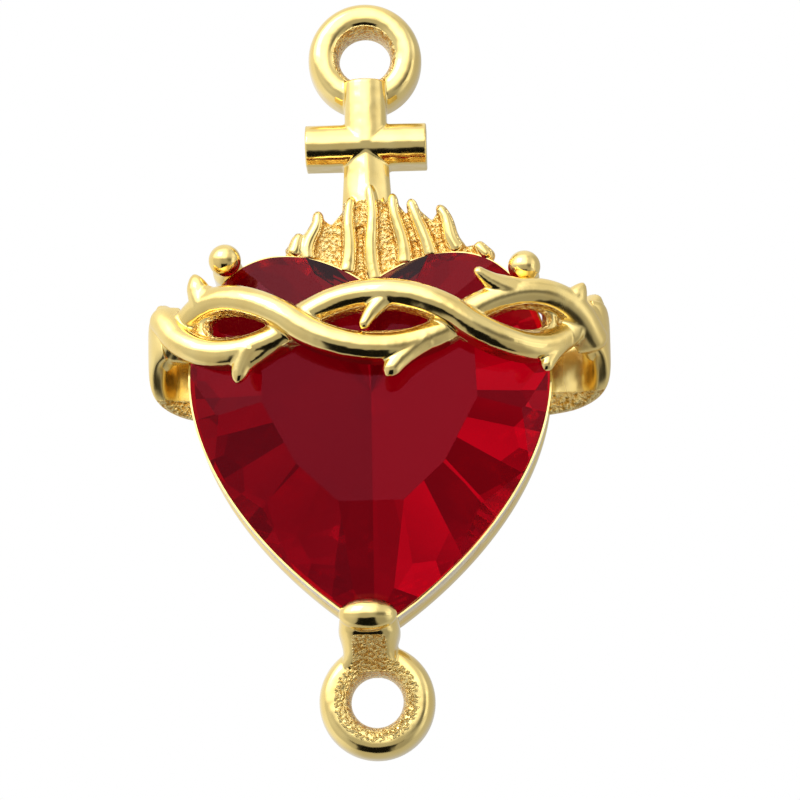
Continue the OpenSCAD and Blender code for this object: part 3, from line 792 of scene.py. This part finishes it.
# A strap seen from above: out and back from the vine's end, then inwards to the wall; with the
# strap's upper and lower edge at each place, and its thickness
STRAP = np.array([
    (0.02, -1.3, 0.66, -0.66, 0.5), (0.24, -1.15, 0.68, -0.8, 0.5), (0.34, -0.9, 0.62, -1.1, 0.5),
    (0.38, -0.6, 0.45, -1.4, 0.48), (0.34, -0.3, 0.25, -1.6, 0.46), (0.2, 0.0, 0.05, -1.76, 0.44),
    (-0.02, 0.2, -0.12, -1.9, 0.44), (-0.4, 0.27, -0.26, -2.06, 0.44),
    (-1.1, 0.28, -0.3, -2.16, 0.44)])


def lug(side):
    shift = VINE_SHIFT * side + LUG_LEAD
    along = np.linspace(0, len(STRAP) - 1, 70)
    rows = smoothed(np.column_stack([np.interp(along, np.arange(len(STRAP)), STRAP[:, i])
                                     for i in range(5)]), 20)
    rings = []
    for i, (x, y, high, low, thick) in enumerate(rows):
        onward = rows[min(i + 1, len(rows) - 1)][:2] - rows[max(i - 1, 0)][:2]
        across = unit([onward[1], -onward[0]])
        ring = []
        for a in np.arange(44) * 2 * math.pi / 44:
            w, h = thick / 2 * fuller(math.cos(a), 0.55), fuller(math.sin(a), 0.42)
            ring.append((side * (shift + x + across[0] * w), y + across[1] * w,
                         LUG_LEAD_Z + (high + low) / 2 + (high - low) / 2 * h))
        rings.append(ring)
    return [shell(rings)]


lugs = made_object("side_lugs", merged(lug(1) + lug(-1)))
melt(lugs, 0.03, 4)

# %% [markdown]
# ## The stone
# A moulded glass heart with crisp facets: a table, a ring of kites and stars on the crown, and
# long facets that run to a ridge behind. Light enters it, bounces between the back facets and
# comes out again, so the pattern is made by real refraction and not painted.

# %% Cut the stone
CULET = (0.0, -9.35)
CULET_Y = 0.92
# How far in from the rim a facet meets the table or the culet, as a share of the way
MAIN_IN, POINT_IN, BREAK_IN, STAR_IN, BACK_IN = 0.41, 0.5, 0.33, 0.34, 0.94
BREAK_RISE, STAR_START = 0.02, 0.45
# Facets of the right half: which way each faces in degrees, from the side (0) up to the lobe (90)
CROWN_MAINS = (-90, -47, -28, 2, 38, 78, 118)
PAVILION_MAINS = (-90, -81, -72, -64, -56, -48, -41, -33, -24, -13, 0, 14, 30, 48, 68, 90, 112, 136)


def reach(angle):
    """How far the half outline reaches in a direction, measured from the culet."""
    a = math.radians(angle)
    return max((half - np.array(CULET)) @ [math.cos(a), math.sin(a)])


def facet(angle, rim_y, inner_y, share):
    """A plane through the rim at its furthest point, and at inner_y where it is share in."""
    a = math.radians(angle)
    d = reach(angle)
    rise = (inner_y - rim_y) / (d * share)
    normal = unit([math.cos(a), math.copysign(1 / abs(rise), inner_y - rim_y), math.sin(a)])
    return (CULET[0] + d * math.cos(a), rim_y, CULET[1] + d * math.sin(a)), normal


def crown_facets():
    """Mains, a star between each two, and two breaks there, except round the lobe."""
    star_y = GIRDLE_Y - STAR_START * (GIRDLE_Y - TABLE_Y)
    planes = [facet(a, GIRDLE_Y, TABLE_Y, MAIN_IN if a > -80 else POINT_IN) for a in CROWN_MAINS]
    for a, b in zip(CROWN_MAINS, CROWN_MAINS[1:]):
        if b < 50:
            planes += [facet(mix(a, b, s), GIRDLE_Y + BREAK_RISE, TABLE_Y, BREAK_IN)
                       for s in (0.27, 0.73)]
        planes.append(facet((a + b) / 2, star_y, TABLE_Y, STAR_IN))
    return planes


def pavilion_facets():
    planes = [facet(a, PAVILION_Y, CULET_Y, 1.0) for a in PAVILION_MAINS]
    for a, b in zip(PAVILION_MAINS, PAVILION_MAINS[1:]):
        planes += [facet(mix(a, b, s), PAVILION_Y - BREAK_RISE, CULET_Y, BACK_IN)
                   for s in (0.3, 0.7)]
    return planes


def cut_stone():
    """Cuts the right half from a block, then mirrors it and drops the cut between the halves."""
    rough = made_object("stone", shell([[(x, TABLE_Y, z) for x, z in half],
                                        [(x, CULET_Y, z) for x, z in half]]))
    cut = bmesh.new()
    cut.from_mesh(rough.data)
    for point, normal in crown_facets() + pavilion_facets():
        geometry = cut.verts[:] + cut.edges[:] + cut.faces[:]
        found = bmesh.ops.bisect_plane(cut, geom=geometry, dist=1e-6, plane_co=point,
                                       plane_no=normal, clear_outer=True)["geom_cut"]
        edges = [e for e in found if isinstance(e, bmesh.types.BMEdge)]
        if edges:
            bmesh.ops.contextual_create(cut, geom=edges)
    middle = [f for f in cut.faces if all(abs(v.co.x) < 1e-5 for v in f.verts)]
    bmesh.ops.delete(cut, geom=middle, context="FACES_ONLY")
    bmesh.ops.mirror(cut, geom=cut.verts[:] + cut.edges[:] + cut.faces[:], axis="X",
                     merge_dist=1e-5)
    bmesh.ops.dissolve_limit(cut, angle_limit=math.radians(0.2), verts=cut.verts[:],
                             edges=cut.edges[:])
    bmesh.ops.recalc_face_normals(cut, faces=cut.faces)
    cut.to_mesh(rough.data)
    open_edges = sum(not e.is_manifold for e in cut.edges)
    print("stone of", len(cut.faces), "faces,", open_edges, "open edges")
    cut.free()
    return rough


stone = cut_stone()

# %% [markdown]
# ## Where the skin was left rough
# A polishing wheel reaches only what stands out. The hollows between the flames, the insides of
# the eyes, the neck's front and the vine's windows keep the grain of the casting. Each casting
# carries an attribute that says how rough its skin was left, worked out from where a point lies
# and which way it faces, and the gold reads it: for its roughness and bump, and to paint bounce
# light and shade into these hollows as a deep orange.

# %% Mark the rough skin
def vertex_data(obj):
    mesh = obj.data
    points = np.empty(len(mesh.vertices) * 3)
    mesh.vertices.foreach_get("co", points)
    normals = np.empty(len(mesh.vertices) * 3)
    mesh.vertex_normals.foreach_get("vector", normals)
    return points.reshape(-1, 3), normals.reshape(-1, 3)


def mark(obj, values):
    skin = obj.data.attributes.new("rough_skin_and_painted_bounce", "FLOAT", "POINT")
    skin.data.foreach_set("value", np.clip(values, 0, 1).astype(np.float32))
    print(obj.name, "has", round(float(np.mean(values > 0.5)) * 100), "% rough skin")


def eye_skin(points, normals, z):
    """The inside of an eye: what faces its middle and lies near it."""
    radius = np.hypot(points[:, 0], points[:, 2] - z)
    inward = -(normals[:, 0] * points[:, 0] + normals[:, 2] * (points[:, 2] - z))
    return step_up(inward / np.maximum(radius, 0.1), 0.5, 0.9) * (radius < 1.2)


def crown_skin(points, normals):
    """Below the cross's arms, what lies deep and doesn't face backwards; and the eye."""
    deep = step_up(points[:, 1], -1.2, -1.06) * (normals[:, 1] < 0.3)
    hollow = deep * step_up(-points[:, 2], 3.9, 4.5)
    return np.maximum(hollow, eye_skin(points, normals, 0))


def toe_skin(points, normals):
    """The neck's front below the oval head, pits round the eye's hole, and inside it."""
    below = step_up(POINT_Z - points[:, 2], 0.16, 0.28) * (points[:, 2] > FOOT_Z + 0.8)
    inner = step_up(-abs(points[:, 0] - TOE_X), -0.56, -0.34) * (normals[:, 1] < -0.3)
    radius = np.hypot(points[:, 0], points[:, 2] - FOOT_Z)
    pitted = 0.47 * step_up(-radius, -1.3, -1.1) * (normals[:, 1] < 0)
    return np.maximum.reduce([below * inner, pitted, eye_skin(points, normals, FOOT_Z)])


def vine_skin(points, normals):
    """The windows' walls: what faces the band's middle line, or lies sunk behind it."""
    turns = np.arcsin(np.clip((points[:, 0] - VINE_SHIFT) / BAND_X, -1, 1))
    height = points[:, 2] - band_z(turns)
    towards = -np.sign(height) * normals[:, 2]
    facing_in = step_up(towards, 0.5, 0.8) * step_up(normals[:, 1], -0.6, -0.2)
    sunk = step_up(points[:, 1] - band_y(turns), -0.02, 0.06) * (abs(turns) < 3 * CROSSING_T)
    return np.maximum(facing_in, sunk) * (abs(height) < 0.62)


def lug_skin(points, normals):
    """Low on the straps, behind their fronts, what doesn't face backwards."""
    return step_up(-points[:, 2], 9.35, 9.5) * (points[:, 1] > -0.3) * (normals[:, 1] < 0.2)


def polished(points, normals):
    return np.zeros(len(points))


for casting, skin in ((crown, crown_skin), (toe, toe_skin), (vine, vine_skin), (lugs, lug_skin),
                      (wall, polished), (prongs, polished)):
    mark(casting, skin(*vertex_data(casting)))

# %% [markdown]
# ## Gold and red glass
# Plated gold is pale where it is polished. In the rough hollows a deep orange is painted into
# its colour, as painted bounce light and shade for light bouncing between rough walls, with
# painted glints flecked through it. One material does both: it reads the rough skin, breaks its
# edge up with a fine grain, and moves the colour and the bump with it. At the far ends of the
# lugs the polish fades to satin. The glass is clear red all through, with a faint cloud in its
# colour. Its mirror is tinted red, which keeps the bright tent from washing the colour out.

# %% Mix the gold and the glass
def finish(name):
    material = bpy.data.materials.new(name)
    material.use_nodes = True
    material.node_tree.nodes.clear()
    return material, Tree(material.node_tree)


def blend(t, mask, a, b):
    return t.add("ShaderNodeMix", {"data_type": "RGBA"}, {0: mask, 6: a, 7: b}, 2)


GRAIN_SCALE, BROAD_SCALE, BUMP_DEPTH = 10500, 1100, 0.00008
SATIN_FROM, SATIN_FULL, MM_PER_METRE = 4.7, 5.4, 1000.0
POLISHED, PALER = (0.92, 0.69, 0.25, 1), (0.96, 0.76, 0.31, 1)
# The deep orange is painted bounce light and shade for the rough hollows, not a colour of the gold.
PAINTED_BOUNCE, PAINTED_GLINT = (0.7, 0.38, 0.07, 1), (1.0, 0.8, 0.35, 1)


def gold(name):
    material, t = finish(name)
    place = t.add("ShaderNodeTexCoord", {}, {}, 3)
    skin = t.add("ShaderNodeAttribute", {"attribute_name": "rough_skin_and_painted_bounce"}, {}, 2)
    # The grain also flecks the rough hollows with painted glints, a pale colour mixed into their
    # orange.
    grain = t.add("ShaderNodeTexNoise", {}, {"Vector": place, "Scale": GRAIN_SCALE, "Detail": 3.0})
    broad = t.add("ShaderNodeTexNoise", {}, {"Vector": place, "Scale": BROAD_SCALE, "Detail": 2.0})
    rough = (skin + (grain - 0.5) * 0.6).ramp(0.4, 0.6)
    across = t.add("ShaderNodeSeparateXYZ", {}, {0: place}, 0) * MM_PER_METRE
    satin = abs(across).ramp(SATIN_FROM, SATIN_FULL)
    bright = blend(t, broad.ramp(0.3, 0.7), POLISHED, PALER)
    # Painted bounce light and shade: the rough hollows take a deep orange instead of the polished
    # colour.
    deep = blend(t, grain.ramp(0.35, 0.6), PAINTED_BOUNCE, PAINTED_GLINT)
    colour = blend(t, rough, bright, deep)
    height = broad * 0.7 + grain * rough * 1.9
    bumped = t.add("ShaderNodeBump", {},
                   {"Height": height, "Distance": BUMP_DEPTH, "Strength": 0.8})
    dull = 0.1 + broad * 0.05 + rough * 0.07 + satin * 0.16
    surface = t.add("ShaderNodeBsdfPrincipled", {}, {
        "Base Color": colour, "Metallic": 1.0, "Roughness": dull, "Normal": bumped})
    t.add("ShaderNodeOutputMaterial", {}, {"Surface": surface})
    return material


def red_glass():
    material, t = finish("red glass")
    place = t.add("ShaderNodeTexCoord", {}, {}, 3)
    cloud = t.add("ShaderNodeTexNoise", {}, {"Vector": place, "Scale": 300, "Detail": 2.0})
    colour = blend(t, cloud, (0.58, 0.0, 0.008, 1), (0.68, 0.001, 0.012, 1))
    surface = t.add("ShaderNodeBsdfPrincipled", {}, {
        "Base Color": colour, "Roughness": 0.01 + cloud * 0.02, "IOR": 1.55,
        "Specular Tint": (0.5, 0.09, 0.15, 1), "Transmission Weight": 1.0})
    t.add("ShaderNodeOutputMaterial", {}, {"Surface": surface})
    return material


cast_gold, vine_gold, glass = gold("cast gold"), gold("vine gold"), red_glass()
for material in (cast_gold, vine_gold, glass):
    print(material.name, "mixed from", len(material.node_tree.nodes), "nodes")

# %% [markdown]
# ## Put the pieces on the frame
# Each piece becomes metres, takes its finish and rides on the frame's only body. Melted castings
# are shaded smooth, the wall too, apart from its own edges, and the stone's facets stay flat.

# %% Dress the frame
PIECES = ((crown, cast_gold, "setting", "gold casting", True),
          (toe, cast_gold, "setting", "gold casting", True),
          (wall, cast_gold, "setting", "gold casting", True),
          (prongs, cast_gold, "setting", "gold casting", True),
          (lugs, cast_gold, "setting", "gold casting", True),
          (vine, vine_gold, "thorn_vine", "gold vine", True),
          (stone, glass, "heart_stone", "red stone", False))
for piece, material, node, slot, smooth in PIECES:
    piece.data.transform(Matrix.Scale(MM, 4))
    piece.data.materials.clear()
    piece.data.materials.append(material)
    piece.data.polygons.foreach_set("use_smooth", [smooth] * len(piece.data.polygons))
    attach(piece, "root")
    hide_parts(node)
wall.data.set_sharp_from_angle(angle=math.radians(30))
print(len(PIECES), "pieces ride on the root:", [piece.name for piece, *_ in PIECES])

# %% [markdown]
# ## The floor
# The pendant hangs free over a wide pale floor, which gives the metal a soft light from below.
# The camera sees it partly as plain white, so it never shows an edge, and mirrors and the
# stone look past it to the tent.

# %% The floor
FLOOR_HALF, FLOOR_Z = 900, -60
corners = [(x * FLOOR_HALF, y * FLOOR_HALF, FLOOR_Z) for x, y in ((-1, -1), (1, -1), (1, 1), (-1, 1))]
floor = made_object("floor", (np.array(corners) * MM, [(0, 1, 2, 3)]))
material, t = finish("pale floor")
seen = t.add("ShaderNodeLightPath", {}, {}, 0)
grey = t.add("ShaderNodeBsdfDiffuse", {}, {"Color": (0.8, 0.8, 0.8, 1)})
white = t.add("ShaderNodeEmission", {}, {"Color": (1, 1, 1, 1), "Strength": 1.0})
surface = t.add("ShaderNodeMixShader", {}, {0: seen * 0.6, 1: grey, 2: white})
t.add("ShaderNodeOutputMaterial", {}, {"Surface": surface})
floor.data.materials.append(material)
floor.visible_glossy = floor.visible_transmission = False
print("floor", 2 * FLOOR_HALF, "mm wide, at", FLOOR_Z, "mm")

# %% [markdown]
# ## The tent
# Jewellery is shot in a white tent with a gap for the camera, and that gap is the sharp dark
# shape in every polished curve. The world is that tent here. Three dot products say how far a
# ray goes towards the camera, up the picture and to its right. The tent is brightest overhead,
# darker to the right, and bright again at the far right. Behind the pendant it is nearly
# white, and greyer low on the right. The gap lies below the camera. Rays that went through the
# glass see something else: the stone's own dark cup, with light let in between its folds, more
# of it on the left. The camera itself sees plain white.

# %% The tent
OVERHEAD, OVERHEAD_RIGHT, ZENITH = 1.75, 1.15, 0.4
PLAIN, BEHIND, BEHIND_SHADE = 0.48, 0.95, 0.42
GAP_DARK, FOLDS, QUARTER_TURN, CUP_DOWN = 0.98, 31.0, 1.5708, 0.45
world = bpy.data.worlds.new("tent")
bpy.context.scene.world = world
world.use_nodes = True
world.node_tree.nodes.clear()
t = Tree(world.node_tree)
ray = t.add("ShaderNodeTexCoord", {}, {}, 0)


def towards_axis(axis):
    return t.add("ShaderNodeVectorMath", {"operation": "DOT_PRODUCT"},
                 {0: ray, 1: tuple(float(v) for v in axis)}, 1)


ahead, above, aside = towards_axis(back), towards_axis(up), towards_axis(right)
over = above.ramp(0.1, 0.5) * (OVERHEAD - aside.ramp(-0.1, 0.5) * OVERHEAD_RIGHT)
over = over - above.ramp(0.8, 1.0) * ZENITH
left_side, far_right = aside.ramp(-0.2, -0.8) * 0.25, aside.ramp(0.6, 0.95) * 0.5
near_right = aside.ramp(0.15, 0.5) * above.ramp(-0.35, 0.05) * 0.3
front = PLAIN + over + (left_side - near_right + far_right) - above.ramp(-0.1, -0.6) * 0.12
shade = (aside * 0.8 - above * 0.5).ramp(-0.3, 0.3)
tent = front + (BEHIND - shade * BEHIND_SHADE - front) * ahead.ramp(0.2, -0.2)
gap = abs(aside + 0.05).ramp(0.4, 0.3) * above.ramp(-0.33, -0.42)
tent = tent * (1.0 - gap * ahead.ramp(0.02, 0.12) * GAP_DARK)

# What the stone sees through its back
round_axis = above.maths("ARCTAN2", above, aside) * FOLDS - QUARTER_TURN
folds = above.maths("COSINE", round_axis).ramp(-1.2, 1.2)
inner = 0.21 + aside.ramp(0.1, -0.1) * 0.12
down = above.ramp(-0.1, -0.35)
lit = aside.ramp(0.3, -0.3)
outer = 0.12 + lit * 0.12 + (folds + (0.6 - folds) * down) * (0.24 + lit * 0.44)
cup = (inner + (outer - inner) * ahead.ramp(-0.95, -0.8)) * (1.0 - down * CUP_DOWN)
through_glass = t.add("ShaderNodeLightPath", {}, {}, 6)
tent = tent + (cup - tent) * through_glass
camera_ray = t.add("ShaderNodeLightPath", {}, {}, 0)
level_seen = tent + (1.0 - tent) * camera_ray
sky = t.add("ShaderNodeBackground", {}, {"Color": (1, 1, 1, 1), "Strength": level_seen})
t.add("ShaderNodeOutputWorld", {}, {"Surface": sky})
print("tent of", len(world.node_tree.nodes), "nodes")

# %% [markdown]
# ## The lamps
# Two soft square lamps stand in the tent, a large key up on the left and a weak fill on the
# right, and both face the pendant's middle.

# %% The lamps
LAMP_TARGET = (0, 0, -9.0)


def softbox(name, place, size, power):
    """Its place is so far to the camera's right, up and towards the camera, in millimetres."""
    data = bpy.data.lights.new(name, "AREA")
    data.size, data.energy = size * MM, power
    lamp = bpy.data.objects.new(name, data)
    bpy.context.scene.collection.objects.link(lamp)
    spot = place[0] * right + place[1] * up + place[2] * back
    lamp.location = Vector((spot + np.array(LAMP_TARGET)) * MM)
    lamp.rotation_euler = Vector(spot).to_track_quat("Z", "Y").to_euler()
    print(name, "of", power, "W at", spot.round(), "mm")


softbox("key softbox", (-70, 95, 75), 75, 0.030)
softbox("fill softbox", (110, 10, 60), 60, 0.006)
bpy.context.scene.view_settings.view_transform = "Standard"
